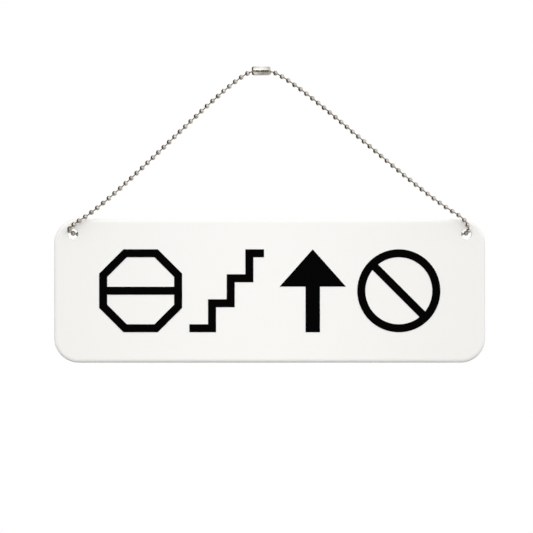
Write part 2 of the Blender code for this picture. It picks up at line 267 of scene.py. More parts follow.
class NickelLook(bpy.types.PropertyGroup):
    """The plating on the chain and the coupling."""

    # Drawn and tumbled are the same nickel: the coupling's is set lighter, partly as a painted
    # highlight, and the beads' darker, partly as painted shade
    drawn: colour("Drawn", "Clean nickel on the drawn strip of the coupling", "E9E6E0")
    tumbled: colour("Tumbled", "Clean nickel on the tumbled beads", "BEBAB2")
    dull: colour("Dull", "Nickel that has been handled", "9C968B")
    # Painted shade: this dark steel colour stands in for the shade between the beads and inside the
    # coupling's bore
    painted_shade_steel: colour("Unplated", "Steel that the plating didn't reach", "8A7D70")
    patch: length("Patch", "Spacing of the dull patches", 4 * MM)
    dent: length("Dent", "Spacing of the marks that tumbling leaves", 0.7 * MM)


class StudioSizes(bpy.types.PropertyGroup):
    """Camera, lights, world and floor."""

    lens_mm: FloatProperty(name="Lens", description="Focal length in millimetres", default=100, min=1)
    framed_width: length("Framed width", "What the picture takes in at the plate", 259.4 * MM)
    aim_side: length("Aim to the side", "The picture's middle, along the plate", 2.43 * MM)
    aim_drop: length("Aim drop", "The picture's middle, below the hook point", 93.2 * MM)
    floor_drop: length("Floor drop", "The floor below the hook point", 0.9)
    floor_radius: length("Floor radius", "Radius of the floor", 3)
    paper: colour("Paper", "The floor", "F2F1EE")
    warm_dark: colour("Warm dark", "The unlit side of the studio", "4F4538")


GROUPS = {
    "plate": PlateSizes,
    "ink": InkLook,
    "coupling": CouplingSizes,
    "chain": ChainSizes,
    "nickel": NickelLook,
    "studio": StudioSizes,
}


class NoticePlateSettings(bpy.types.PropertyGroup):
    """All the sizes and colours of the notice plate and its studio."""

    plate: PointerProperty(type=PlateSizes)
    ink: PointerProperty(type=InkLook)
    coupling: PointerProperty(type=CouplingSizes)
    chain: PointerProperty(type=ChainSizes)
    nickel: PointerProperty(type=NickelLook)
    studio: PointerProperty(type=StudioSizes)


def add(tree, kind, links=None, **settings):
    """Adds a node, sets it up and feeds its inputs from values or other nodes' outputs."""
    node = tree.nodes.new(kind)
    node.location = (NODE_GAP * len(tree.nodes), 0)
    for name, value in settings.items():
        setattr(node, name, value)
    for key, value in (links or {}).items():
        if isinstance(value, bpy.types.NodeSocket):
            tree.links.new(value, node.inputs[key])
        else:
            node.inputs[key].default_value = value
    return node


def principled(name, **values):
    """A new material, its node tree and its shader, with the values set on the sockets."""
    material = bpy.data.materials.new(name)
    material.use_nodes = True
    tree = material.node_tree
    shader = tree.nodes["Principled BSDF"]
    for key, value in values.items():
        shader.inputs[key.replace("_", " ")].default_value = value
    return material, tree, shader


def moulded_abs(look):
    """White ABS, injection moulded in a polished tool.

    The tool gives a soft gloss over a very slight waviness from the cooling
    plastic, and the grain of the tool's polish only shows in the highlight. The
    white is painted slightly darker with the waves' height, as painted shade that
    shows the waviness.
    """
    material, tree, shader = principled("white_abs_moulded", Roughness=ABS_ROUGHNESS, IOR=POLYMER_IOR)
    place = add(tree, "ShaderNodeTexCoord").outputs["Object"]
    waves = add(tree, "ShaderNodeTexNoise", {"Vector": place, "Scale": 1 / look.wave, "Detail": 1})
    grain = add(tree, "ShaderNodeTexNoise", {"Vector": place, "Scale": 1 / look.grain, "Detail": 2})
    # Painted shade: the white darkens slightly with the waves' height
    shade = tuple(ABS_SHADE * c for c in look.white)
    tint = add(
        tree,
        "ShaderNodeMix",
        {"Factor": waves.outputs["Fac"], "A": (*look.white, 1), "B": (*shade, 1)},
        data_type="RGBA",
    )
    tree.links.new(tint.outputs["Result"], shader.inputs["Base Color"])
    wavy = add(tree, "ShaderNodeBump", {"Height": waves.outputs["Fac"], **ABS_WAVES}).outputs["Normal"]
    fine = add(tree, "ShaderNodeBump", {"Height": grain.outputs["Fac"], "Normal": wavy, **ABS_GRAIN})
    tree.links.new(fine.outputs["Normal"], shader.inputs["Normal"])
    return material


def printed_ink(look):
    """Black solvent ink, screen printed.

    The ink dries matt, and the mesh of the screen leaves a fine grain in it.
    """
    material, tree, shader = principled(
        "black_ink_screen_printed", IOR=POLYMER_IOR, Specular_IOR_Level=INK_SPECULAR
    )
    shader.inputs["Base Color"].default_value = (*look.black, 1)
    place = add(tree, "ShaderNodeTexCoord").outputs["Object"]
    grain = add(tree, "ShaderNodeTexNoise", {"Vector": place, "Scale": 1 / look.grain, "Detail": 2})
    dry = add(tree, "ShaderNodeMapRange", {"Value": grain.outputs["Fac"], **INK_ROUGHNESS})
    tree.links.new(dry.outputs["Result"], shader.inputs["Roughness"])
    rough = add(tree, "ShaderNodeBump", {"Height": grain.outputs["Fac"], **INK_GRAIN})
    tree.links.new(rough.outputs["Normal"], shader.inputs["Normal"])
    return material


def plated_nickel(look, name, clean, stretch):
    """Nickel plate on steel.

    The tumbled beads take small soft dents, and the drawn strip of the coupling
    takes lines along its length, for which the pattern is stretched. Handling
    leaves slightly darker, duller patches in the clean colour. The clean colour
    is lighter on the coupling and darker on the beads, partly for their finish
    and partly as a painted highlight and painted shade.
    """
    material, tree, shader = principled(name, Metallic=1)
    place = add(tree, "ShaderNodeTexCoord").outputs["Object"]
    drawn = add(tree, "ShaderNodeMapping", {"Vector": place, "Scale": stretch}).outputs["Vector"]
    patches = add(tree, "ShaderNodeTexNoise", {"Vector": place, "Scale": 1 / look.patch, "Detail": 2})
    dents = add(tree, "ShaderNodeTexNoise", {"Vector": drawn, "Scale": 1 / look.dent, "Detail": 1})
    handled = add(tree, "ShaderNodeMapRange", {"Value": patches.outputs["Fac"], **NICKEL_PATCHES})
    spread = handled.outputs["Result"]
    metal = add(
        tree,
        "ShaderNodeMix",
        {"Factor": spread, "A": (*clean, 1), "B": (*look.dull, 1)},
        data_type="RGBA",
    )
    tree.links.new(metal.outputs["Result"], shader.inputs["Base Color"])
    polish = add(tree, "ShaderNodeMapRange", {"Value": spread, **NICKEL_ROUGHNESS})
    tree.links.new(polish.outputs["Result"], shader.inputs["Roughness"])
    marks = add(tree, "ShaderNodeBump", {"Height": dents.outputs["Fac"], **NICKEL_DENTS})
    tree.links.new(marks.outputs["Normal"], shader.inputs["Normal"])
    return material


def painted_shade_steel_material(look):
    """Drawn steel, dark and dull, for the links and the inside of the coupling.

    Its dark colour is painted shade for the gaps between the beads and the
    coupling's bore, so that the links show as thin dark lines and the slot as a
    dark one. The fine lines of the drawing die are in its roughness.
    """
    material, tree, shader = principled("steel_drawn_unplated", Metallic=1)
    shader.inputs["Base Color"].default_value = (*look.painted_shade_steel, 1)
    place = add(tree, "ShaderNodeTexCoord").outputs["Object"]
    lines = add(tree, "ShaderNodeTexNoise", {"Vector": place, "Scale": 1 / look.dent, "Detail": 2})
    worn = add(tree, "ShaderNodeMapRange", {"Value": lines.outputs["Fac"], **STEEL_ROUGHNESS})
    tree.links.new(worn.outputs["Result"], shader.inputs["Roughness"])
    return material


def paper_floor(look):
    """Matt white background paper, which fades into the white of the studio towards its edge."""
    material, tree, shader = principled("white_background_paper", Roughness=PAPER_ROUGHNESS)
    shader.inputs["Base Color"].default_value = (*look.paper, 1)
    place = add(tree, "ShaderNodeTexCoord").outputs["Object"]
    flat = add(tree, "ShaderNodeVectorMath", {0: place, 1: (1, 1, 0)}, operation="MULTIPLY")
    away = add(tree, "ShaderNodeVectorMath", {0: flat.outputs["Vector"]}, operation="LENGTH")
    start, stop = (share * look.floor_radius for share in FLOOR_FADE)
    fade = add(
        tree,
        "ShaderNodeMapRange",
        {"Value": away.outputs["Value"], "From Min": start, "From Max": stop},
        interpolation_type="SMOOTHSTEP",
    )
    clear = add(tree, "ShaderNodeBsdfTransparent")
    mixed = add(
        tree,
        "ShaderNodeMixShader",
        {0: fade.outputs["Result"], 1: shader.outputs["BSDF"], 2: clear.outputs["BSDF"]},
    )
    tree.links.new(mixed.outputs["Shader"], tree.nodes["Material Output"].inputs["Surface"])
    return material


def smooth_mesh(bm, name, sharp_from=SHARP_EDGE):
    """Turns a bmesh into a mesh that is shaded smooth over its small angles."""
    bmesh.ops.recalc_face_normals(bm, faces=bm.faces)
    mesh = bpy.data.meshes.new(name)
    bm.to_mesh(mesh)
    bm.free()
    mesh.shade_smooth()
    mesh.set_sharp_from_angle(angle=sharp_from)
    return mesh


def put(name, mesh, body, slot, *nodes):
    """Shows a finished mesh in place of its solids, and lets it ride on their body."""
    piece = bpy.data.objects.new(name, mesh)
    bpy.context.scene.collection.objects.link(piece)
    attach(piece, body)
    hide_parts(*nodes)
    return piece


def lofted(bm, loops, closed=False):
    """Joins loops of points into a skin and returns its rings of vertices."""
    rings = [[bm.verts.new(point) for point in loop] for loop in loops]
    following = rings[1:] + rings[:1] if closed else rings[1:]
    for ring, after in zip(rings, following):
        for i, vertex in enumerate(ring):
            j = (i + 1) % len(ring)
            bm.faces.new((vertex, ring[j], after[j], after[i]))
    return rings


def rim(bm, *rings):
    """The edges along closed rings of vertices."""
    return [bm.edges.get(pair) for ring in rings for pair in zip(ring, ring[1:] + ring[:1])]


def quarter(width, depth, steps):
    """Inset and depth of the points of a rounded edge, from the face to the wall."""
    angles = [math.pi / 2 * step / steps for step in range(steps + 1)]
    return [(width * (1 - math.sin(a)), depth * (1 - math.cos(a))) for a in angles]


def plate_outline(sizes, inset, y):
    """The plate's rounded outline, drawn in by an inset."""
    radius = sizes.corner_radius - inset
    across = PLATE_WIDTH / 2 - sizes.corner_radius
    up = PLATE_HEIGHT / 2 - sizes.corner_radius
    points = []
    for turn, (x_side, z_side) in enumerate(((1, 1), (-1, 1), (-1, -1), (1, -1))):
        for step in range(sizes.corner_steps + 1):
            angle = math.pi / 2 * (turn + step / sizes.corner_steps)
            x = x_side * across + radius * math.cos(angle)
            z = z_side * up + radius * math.sin(angle)
            points.append(PLATE_CENTRE + Vector((x, y, z)))
    return points


def hole_middle(sizes, side):
    """The middle of a hole."""
    x = PLATE_WIDTH / 2 - sizes.hole_side_inset
    return Vector((PLATE_CENTRE.x + side * x, PLATE_CENTRE.y, PLATE_HIGH.z - sizes.hole_top_inset))


def hole_loop(sizes, side, outset, y):
    """A circle about a hole, opened out by an outset."""
    radius = sizes.hole_diameter / 2 + outset
    points = []
    for i in range(sizes.hole_sides):
        angle = 2 * math.pi * i / sizes.hole_sides
        points.append(
            hole_middle(sizes, side) + Vector((radius * math.cos(angle), y, radius * math.sin(angle)))
        )
    return points


def wall_section(front, back, sizes):
    """Inset and Y of the points from the front face round the wall to the back face.

    Front and back are the width and the depth of the two rounded edges.
    """
    half = PLATE_THICKNESS / 2
    rounded = [(inset, depth - half) for inset, depth in quarter(*front, sizes.rounding_steps)]
    rounded += [(inset, half - depth) for inset, depth in quarter(*back, sizes.rounding_steps)][::-1]
    return [(front[0] + sizes.land, -half), *rounded, (back[0] + sizes.land, half)]


def plate_mesh(sizes):
    """The plate with its rounded edge and its two holes."""
    bm = bmesh.new()
    front = (sizes.front_slope, sizes.front_rounding)
    section = wall_section(front, (sizes.back_rounding, sizes.back_rounding), sizes)
    skins = [lofted(bm, [plate_outline(sizes, inset, y) for inset, y in section])]
    both = (sizes.hole_rounding, sizes.hole_rounding)
    section = wall_section(both, both, sizes)
    for side in (LEFT, RIGHT):
        skins.append(lofted(bm, [hole_loop(sizes, side, outset, y) for outset, y in section]))
    for end, facing in ((0, (0, -1, 0)), (-1, (0, 1, 0))):
        edges = rim(bm, *(skin[end] for skin in skins))
        bmesh.ops.triangle_fill(bm, use_beauty=True, edges=edges, normal=facing)
    return smooth_mesh(bm, "moulded_plate")


def coupling_mesh(sizes, chain):
    """The strip rolled into a tube, open along one slot, with rounded ends.

    The faces inside take the piece's second material, the dark steel that paints the shade in the bore.
    """
    bead = chain.bead_diameter / 2
    bore = bead + sizes.play
    mouth = bead * MOUTH_SHARE
    half = COUPLING_LENGTH / 2
    lip = mouth + sizes.wall / 2
    arc = [math.pi / 2 * step / sizes.neck_steps for step in range(sizes.neck_steps + 1)]
    outside = [
        (half - sizes.neck * (1 - math.sin(a)), lip + (COUPLING_RADIUS - lip) * math.cos(a)) for a in arc
    ]
    depth = sizes.neck - sizes.wall
    inside = [
        (half - sizes.neck + depth * math.sin(a), mouth + (bore - mouth) * math.cos(a)) for a in arc
    ]
    section = outside + [(half, mouth)] + inside[::-1]
    section += [(-x, r) for x, r in reversed(section)]
    slot_angle = SLOT_BELOW_LEVEL - math.pi
    bm = bmesh.new()
    rows = []
    for x, radius in section:
        edge = math.asin(sizes.slot_width / 2 / radius)
        row = []
        for i in range(sizes.around + 1):
            angle = slot_angle + edge + (2 * math.pi - 2 * edge) * i / sizes.around
            point = Vector((x, radius * math.cos(angle), COUPLING_AXIS_Z + radius * math.sin(angle)))
            row.append(bm.verts.new(point))
        rows.append(row)
    turn = len(outside)
    count = len(section)
    for k, row in enumerate(rows):
        after = rows[(k + 1) % count]
        for i in range(sizes.around):
            face = bm.faces.new((row[i], row[i + 1], after[i + 1], after[i]))
            # The inside faces take the dark steel that paints the shade in the bore
            face.material_index = 1 if turn < k < count - turn - 2 else 0
    outer = list(range(turn)) + list(range(count - turn, count))
    inner = list(range(turn, count - turn))
    for i in (0, sizes.around):
        walk_out = sorted(outer, key=lambda k: section[k][0])
        walk_in = sorted(inner, key=lambda k: section[k][0])
        bm.faces.new([rows[k][i] for k in walk_out] + [rows[k][i] for k in walk_in[::-1]])
    return smooth_mesh(bm, "rolled_coupling")


def turned(bm, section, angles, dip=0):
    """Turns a closed section of (radius, height) points about Z; the first angle may dip."""
    loops = []
    for order, angle in enumerate(angles):
        sunk = dip if order == 0 else 0
        loops.append([
            Vector(((r - sunk * outer) * math.cos(angle), (r - sunk * outer) * math.sin(angle), h))
            for r, h, outer in section
        ])
    lofted(bm, loops, closed=True)


def bead_mesh(sizes):
    """A hollow bead with a hole at each pole and a closed seam along one side."""
    outer, inner = sizes.bead_diameter / 2, sizes.bead_diameter / 2 - sizes.bead_wall
    pole = math.asin(sizes.pole_hole / 2 / outer)
    inner_pole = math.asin(sizes.pole_hole / 2 / inner)
    section = []
    for step in range(sizes.bead_steps + 1):
        angle = pole + (math.pi - 2 * pole) * step / sizes.bead_steps
        seamed = 1 if 0 < step < sizes.bead_steps else 0
        section.append((outer * math.sin(angle), outer * math.cos(angle), seamed))
    for step in range(sizes.inner_steps + 1):
        angle = math.pi - inner_pole - (math.pi - 2 * inner_pole) * step / sizes.inner_steps
        section.append((inner * math.sin(angle), inner * math.cos(angle), 0))
    sides, seam = sizes.bead_sides, sizes.seam_width / sizes.bead_diameter
    angles = [0, seam] + [2 * math.pi * i / sides for i in range(1, sides)] + [2 * math.pi - seam]
    bm = bmesh.new()
    turned(bm, section, angles, sizes.seam_depth)
    return smooth_mesh(bm, "hollow_bead", SHARP_BEAD)


def pole_place(sizes):
    """How far the middle of a pole hole is from a bead's middle."""
    return math.sqrt(sizes.bead_diameter ** 2 - sizes.pole_hole ** 2) / 2


def way_through(before, bead, after):
    """Which way a bead between two others lies along the chain."""
    return ((bead - before).normalized() + (after - bead).normalized()).normalized()


def free_tip(sizes, before, last, pivot, after):
    """How far past its middle the link from the last bead may reach without touching the pivot bead."""
    reach = pole_place(sizes)
    start = last + reach * way_through(before, last, pivot)
    stop = pivot - reach * way_through(last, pivot, after)
    way = (stop - start).normalized()
    to_pivot = pivot - (start + stop) / 2
    ahead = to_pivot.dot(way)
    clear = sizes.bead_diameter / 2 + sizes.tip_gap
    return ahead - math.sqrt(clear ** 2 + ahead ** 2 - to_pivot.length_squared)


def link_mesh(sizes, free_end=None):
    """A link: a shank with a head inside each bead, or with one plain end this far past its middle."""
    shank, head = sizes.link_diameter / 2, sizes.link_head / 2
    to_bead = (sizes.bead_diameter + sizes.bare_link) / 2
    neck = to_bead - pole_place(sizes) + sizes.head_place
    upper = [(shank, neck)] + [(head * out, neck + head * up) for out, up in HEAD_RINGS]
    tip = neck + head * HEAD_TIP
    lower = [(r, -h) for r, h in reversed(upper)]
    bottom = -tip
    if free_end is not None:
        tip = free_end
        upper = [(shank * out, tip - shank * back) for out, back in END_RINGS]
    angles = [2 * math.pi * i / sizes.link_sides for i in range(sizes.link_sides)]
    bm = bmesh.new()
    loops = []
    for radius, height in lower + upper:
        loops.append([Vector((radius * math.cos(a), radius * math.sin(a), height)) for a in angles])
    rings = lofted(bm, loops)
    for ring, height in ((rings[0], bottom), (rings[-1], tip)):
        pole = bm.verts.new((0, 0, height))
        for a, b in zip(ring, ring[1:] + ring[:1]):
            bm.faces.new((a, b, pole))
    return smooth_mesh(bm, "link", SHARP_LINK)


def off_plate(sizes):
    """How far the middle of a bead beside the plate is from the plate's middle."""
    return PLATE_THICKNESS / 2 + sizes.off_plate + sizes.bead_diameter / 2


def tuck_beads(settings, side):
    """Bead middles from the mouth of a hole up to the foot of its leg."""
    pitch = settings.chain.bead_diameter + settings.chain.bare_link
    mouth = hole_middle(settings.plate, side) - Vector((0, off_plate(settings.chain), 0))
    return [mouth + pitch * Vector((side * out, -ahead, up)) for out, ahead, up in TUCK_SHARES[side]]


def spaced(points, pitch):
    """Bead middles along a line of points, at the whole pitch that fits best."""
    lengths = [(b - a).length for a, b in zip(points, points[1:])]
    total = sum(lengths)
    count = max(2, round(total / pitch))
    beads = [points[0]]
    walked = 0
    for (a, b), step in zip(zip(points, points[1:]), lengths):
        while len(beads) < count and walked + step >= total * len(beads) / count:
            beads.append(a.lerp(b, (total * len(beads) / count - walked) / step))
        walked += step
    return beads + [points[-1]]


def leg_beads(settings, side):
    """Bead middles from the coupling down to the pivot bead, which is the last."""
    sizes = settings.chain
    bead = sizes.bead_diameter / 2
    seat = bead + sizes.off_plate
    inner_edge = COUPLING_LENGTH / 2 - settings.coupling.wall
    x = inner_edge - math.sqrt(seat ** 2 - (bead * MOUTH_SHARE) ** 2)
    start = Vector((side * x, 0, COUPLING_AXIS_Z))
    pivot, *above_pivot, foot = tuck_beads(settings, side)
    distance = (foot - start).length
    leave = Vector((side * math.cos(LEG_START_SLOPE), 0, -math.sin(LEG_START_SLOPE)))
    arrive = Vector((side * math.cos(LEG_FOOT_SLOPE), 0, -math.sin(LEG_FOOT_SLOPE)))
    start_share, foot_share = LEG_HANDLE_SHARES[side]
    handles = (start + leave * distance * start_share, foot - arrive * distance * foot_share)
    line = interpolate_bezier(start, *handles, foot, CURVE_STEPS)
    return spaced(line, sizes.bead_diameter + sizes.bare_link) + above_pivot[::-1] + [pivot]


def through_beads(settings, side):
    """Bead middles from the pivot through the hole to the first bead behind."""
    sizes = settings.chain
    hole = hole_middle(settings.plate, side)
    rise = (settings.plate.hole_diameter - sizes.bead_diameter) / 2 * HUNG_BEAD_RISE_SHARE
    hung = hole + Vector((0, PLATE_THICKNESS * HUNG_BEAD_DEPTH_SHARE, rise))
    inward = -side * (sizes.bead_diameter + sizes.bare_link) * BACK_BEAD_SHARE
    behind = hole + Vector((inward, off_plate(sizes), 0))
    return [tuck_beads(settings, side)[0], hung, behind]


def chain_tree():
    """Node tree that strings beads and links along a row of points.

    The row has one point more than its beads at each end, so that every bead
    has a neighbour on both sides to line up with. The points' own marks say
    where a bead, a whole link and an end link go; a link follows its point.
    """
    tree = bpy.data.node_groups.new("Ball chain", "GeometryNodeTree")
    for name, kind in (
        ("Row", "NodeSocketGeometry"),
        ("Bead", "NodeSocketObject"),
        ("Link", "NodeSocketObject"),
        ("End Link", "NodeSocketObject"),
        ("Pole Place", "NodeSocketFloat"),
        ("Seed", "NodeSocketInt"),
        ("Plating", "NodeSocketMaterial"),
        ("Wire", "NodeSocketMaterial"),
    ):
        tree.interface.new_socket(name, in_out="INPUT", socket_type=kind)
    tree.interface.new_socket("Chain", in_out="OUTPUT", socket_type="NodeSocketGeometry")
    given = add(tree, "NodeGroupInput").outputs
    vectors, at_index = "ShaderNodeVectorMath", "GeometryNodeFieldAtIndex"
    place = add(tree, "GeometryNodeInputPosition").outputs[0]
    index = add(tree, "GeometryNodeInputIndex").outputs[0]
    before = add(tree, "FunctionNodeIntegerMath", {0: index, 1: 1}, operation="SUBTRACT").outputs[0]
    after = add(tree, "FunctionNodeIntegerMath", {0: index, 1: 1}, operation="ADD").outputs[0]
    place_before = add(
        tree, at_index, {"Index": before, "Value": place}, data_type="FLOAT_VECTOR"
    ).outputs[0]
    place_after = add(
        tree, at_index, {"Index": after, "Value": place}, data_type="FLOAT_VECTOR"
    ).outputs[0]
    came = add(tree, vectors, {0: place, 1: place_before}, operation="SUBTRACT").outputs[0]
    goes = add(tree, vectors, {0: place_after, 1: place}, operation="SUBTRACT").outputs[0]
    came_way = add(tree, vectors, {0: came}, operation="NORMALIZE").outputs[0]
    goes_way = add(tree, vectors, {0: goes}, operation="NORMALIZE").outputs[0]
    both_ways = add(tree, vectors, {0: came_way, 1: goes_way}, operation="ADD").outputs[0]
    along = add(tree, vectors, {0: both_ways}, operation="NORMALIZE").outputs[0]
    reach = add(tree, vectors, {0: along, "Scale": given["Pole Place"]}, operation="SCALE").outputs[0]
    reach_after = add(
        tree, at_index, {"Index": after, "Value": reach}, data_type="FLOAT_VECTOR"
    ).outputs[0]
    link_start = add(tree, vectors, {0: place, 1: reach}, operation="ADD").outputs[0]
    link_stop = add(tree, vectors, {0: place_after, 1: reach_after}, operation="SUBTRACT").outputs[0]
    link_way = add(tree, vectors, {0: link_stop, 1: link_start}, operation="SUBTRACT").outputs[0]
    link_ends = add(tree, vectors, {0: link_start, 1: link_stop}, operation="ADD").outputs[0]
    link_middle = add(tree, vectors, {0: link_ends, "Scale": 0.5}, operation="SCALE").outputs[0]
    turn = add(
        tree,
        "FunctionNodeRandomValue",
        {"Max": 2 * math.pi, "ID": index, "Seed": given["Seed"]},
        data_type="FLOAT",
    )
    roll = add(
        tree,
        "FunctionNodeAxisAngleToRotation",
        {"Axis": (0, 0, 1), "Angle": next(o for o in turn.outputs if o.enabled)},
    )
    bead_lie = add(tree, "FunctionNodeAlignRotationToVector", {"Vector": along}, axis="Z")
    bead_turn = add(
        tree,
        "FunctionNodeRotateRotation",
        {"Rotation": bead_lie.outputs[0], "Rotate By": roll.outputs[0]},
        rotation_space="LOCAL",
    )
    strung = [
        string_on(tree, given["Row"], "bead_here", given["Bead"], bead_turn.outputs[0], given["Plating"])
    ]
    held = add(
        tree,
        "GeometryNodeStoreNamedAttribute",
        {"Geometry": given["Row"], "Name": "link_way", "Value": link_way},
        data_type="FLOAT_VECTOR",
    )
    moved = add(
        tree, "GeometryNodeSetPosition", {"Geometry": held.outputs[0], "Position": link_middle}
    ).outputs[0]
    kept_way = add(
        tree, "GeometryNodeInputNamedAttribute", {"Name": "link_way"}, data_type="FLOAT_VECTOR"
    )
    link_lie = add(
        tree, "FunctionNodeAlignRotationToVector", {"Vector": kept_way.outputs[0]}, axis="Z"
    )
    for mark, link in (("link_here", "Link"), ("end_link_here", "End Link")):
        strung.append(string_on(tree, moved, mark, given[link], link_lie.outputs[0], given["Wire"]))
    joined = add(tree, "GeometryNodeJoinGeometry")
    for geometry in strung:
        tree.links.new(geometry, joined.inputs[0])
    add(tree, "NodeGroupOutput", {0: joined.outputs[0]})
    return tree


def string_on(tree, row, mark, what, lie, material):
    """Puts an object, in its material, on each point that carries a mark."""
    marked = add(tree, "GeometryNodeInputNamedAttribute", {"Name": mark}, data_type="BOOLEAN")
    shape = add(tree, "GeometryNodeObjectInfo", {"Object": what}).outputs["Geometry"]
    placed = add(
        tree,
        "GeometryNodeInstanceOnPoints",
        {"Points": row, "Selection": marked.outputs[0], "Instance": shape, "Rotation": lie},
    )
    real = add(tree, "GeometryNodeRealizeInstances", {"Geometry": placed.outputs[0]})
    looks = add(tree, "GeometryNodeSetMaterial", {"Geometry": real.outputs[0], "Material": material})
    return looks.outputs[0]


def chain_mesh(settings, points, marks, metals, free_end=None):
    """One run of chain as a plain mesh."""
    sizes = settings.chain
    row = bpy.data.meshes.new("bead_row")
    row.from_pydata(points, [(i, i + 1) for i in range(len(points) - 1)], [])
    for name in ("bead_here", "link_here", "end_link_here"):
        attribute = row.attributes.new(name, "BOOLEAN", "POINT")
        attribute.data.foreach_set("value", [name in mark for mark in marks])
    helpers = {
        "Bead": bead_mesh(sizes),
        "Link": link_mesh(sizes),
        "End Link": link_mesh(sizes, free_end),
    }
    helpers = {name: bpy.data.objects.new(mesh.name, mesh) for name, mesh in helpers.items()}
    carrier = bpy.data.objects.new("bead_row", row)
    for item in (carrier, *helpers.values()):
        bpy.context.scene.collection.objects.link(item)
    tree = chain_tree()
    strung = carrier.modifiers.new("ball_chain", "NODES")
    strung.node_group = tree
    values = {**helpers, **metals, "Pole Place": pole_place(sizes), "Seed": sizes.seed}
    for item in tree.interface.items_tree:
        if item.in_out == "INPUT" and item.name in values:
            strung[item.identifier] = values[item.name]
    ready = carrier.evaluated_get(bpy.context.evaluated_depsgraph_get())
    mesh = bpy.data.meshes.new_from_object(ready)
    for item in (carrier, *helpers.values()):
        bpy.data.objects.remove(item, do_unlink=True)
    return mesh


def leg_mesh(settings, side, metals):
    """A hanging run, whose last link ends just short of the pivot bead."""
    beads = leg_beads(settings, side)
    guard = 2 * beads[0] - beads[1]
    marks = [()] + [("bead_here", "link_here")] * (len(beads) - 2) + [("bead_here", "end_link_here")]
    after_pivot = through_beads(settings, side)[1]
    points = [guard] + beads + [after_pivot]
    tip = free_tip(settings.chain, *points[-4:])
    return chain_mesh(settings, points, marks + [(), ()], metals, tip)


def threaded_mesh(settings, metals):
    """The run from the left pivot bead through both holes to the right one."""
    left, right = through_beads(settings, LEFT), through_beads(settings, RIGHT)
    pitch = settings.chain.bead_diameter + settings.chain.bare_link
    beads = left[:-1] + spaced([left[-1], right[-1]], pitch) + right[:-1][::-1]
    guards = [leg_beads(settings, side)[-2] for side in (LEFT, RIGHT)]
    marks = [("bead_here", "link_here")] * (len(beads) - 1) + [("bead_here",)]
    return chain_mesh(settings, [guards[0]] + beads + [guards[1]], [()] + marks + [()], metals)


def settings_of(context):
    """The sizes and colours that the panel shows."""
    return context.scene.notice_plate


class NOTICEPLATE_OT_plate(bpy.types.Operator):
    """Makes the moulded plate with its rounded edge and its two holes"""

    bl_idname = "notice_plate.make_plate"
    bl_label = "Moulded Plate"

    def execute(self, context):
        sizes = settings_of(context).plate
        mesh = plate_mesh(sizes)
        mesh.materials.append(moulded_abs(sizes))
        put("moulded_plate", mesh, "plate", "white_plastic", "notice_plate")
        return {"FINISHED"}


class NOTICEPLATE_OT_figures(bpy.types.Operator):
    """Gives the four printed figures their ink"""

    bl_idname = "notice_plate.ink_figures"
    bl_label = "Printed Figures"

    def execute(self, context):
        ink = printed_ink(settings_of(context).ink)
        for name in PRINT_NODES:
            film = frame["nodes"][name]
            film.data.materials.clear()
            film.data.materials.append(ink)
        return {"FINISHED"}


class NOTICEPLATE_OT_coupling(bpy.types.Operator):
    """Makes the slotted coupling that holds the chain's two ends"""

    bl_idname = "notice_plate.make_coupling"
    bl_label = "Coupling"

    def execute(self, context):
        settings = settings_of(context)
        mesh = coupling_mesh(settings.coupling, settings.chain)
        look = settings.nickel
        mesh.materials.append(plated_nickel(look, "nickel_plated_steel_drawn", look.drawn, DRAWN_OUT))
        mesh.materials.append(painted_shade_steel_material(look))
        piece = put("rolled_coupling", mesh, "coupling", "nickel", "chain_coupling")
        rounded = piece.modifiers.new("rounded_edges", "BEVEL")
        rounded.width = settings.coupling.edge_rounding
        rounded.segments = STRIP_EDGE_STEPS
        rounded.limit_method = "ANGLE"
        rounded.angle_limit = STRIP_EDGE_ANGLE
        return {"FINISHED"}


class NOTICEPLATE_OT_chain(bpy.types.Operator):
    """Strings the two hanging runs of the chain and the run through both holes"""

    bl_idname = "notice_plate.string_chain"
    bl_label = "Ball Chain"

    def execute(self, context):
        settings = settings_of(context)
        look = settings.nickel
        metals = {
            "Plating": plated_nickel(look, "nickel_plated_steel_tumbled", look.tumbled, EVEN),
            # The links' dark steel is painted shade between the beads
            "Wire": painted_shade_steel_material(look),
        }
        for side, label in ((LEFT, "left"), (RIGHT, "right")):
            mesh = leg_mesh(settings, side, metals)
            put(label + "_hanging_chain", mesh, "hanging_chain", "nickel", "chain_leg_" + label)
        put(
            "threaded_chain",
            threaded_mesh(settings, metals),
            "plate",
            "nickel",
            "chain_through_left_hole",
            "chain_back_run",
            "chain_through_right_hole",
        )
        return {"FINISHED"}


